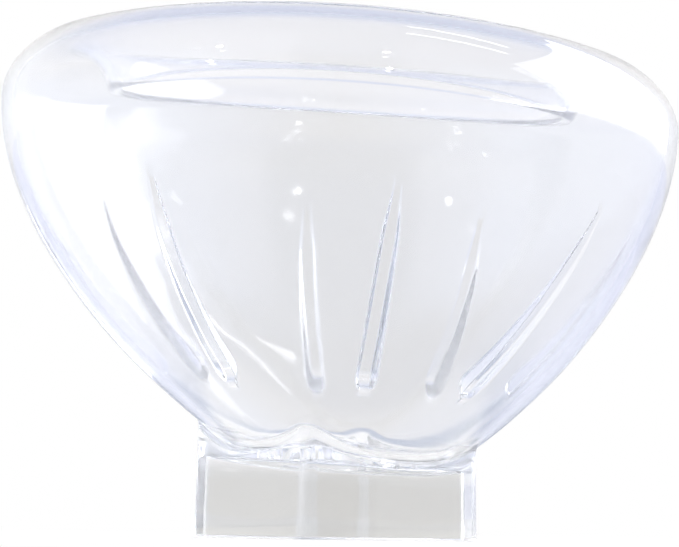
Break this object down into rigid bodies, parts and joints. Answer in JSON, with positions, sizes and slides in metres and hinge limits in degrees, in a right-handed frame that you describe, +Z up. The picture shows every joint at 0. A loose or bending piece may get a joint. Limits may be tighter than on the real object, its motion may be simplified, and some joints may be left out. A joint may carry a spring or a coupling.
{
  "type": "pet inhalation mask",
  "caption": "Clear soft inhalation mask for a pet: round bowl with a curled face rim, inner ribs, a round aerosol port and a square socket that plugs on a nebuliser.",
  "frame": {"origin": "middle of the socket's mouth, on the plane that the mask stands on", "axes": "+Z up, from the socket's mouth towards the face rim; X and Y square to the socket's flats; the bowl leans towards 33 degrees from +X on the -Y side"},
  "size_m": [0.1098, 0.1099, 0.0835],
  "materials": {
    "clear_vinyl": "polished"
  },
  "bodies": {
    "root": {"mask_body": "clear_vinyl"}
  },
  "joints": []
}
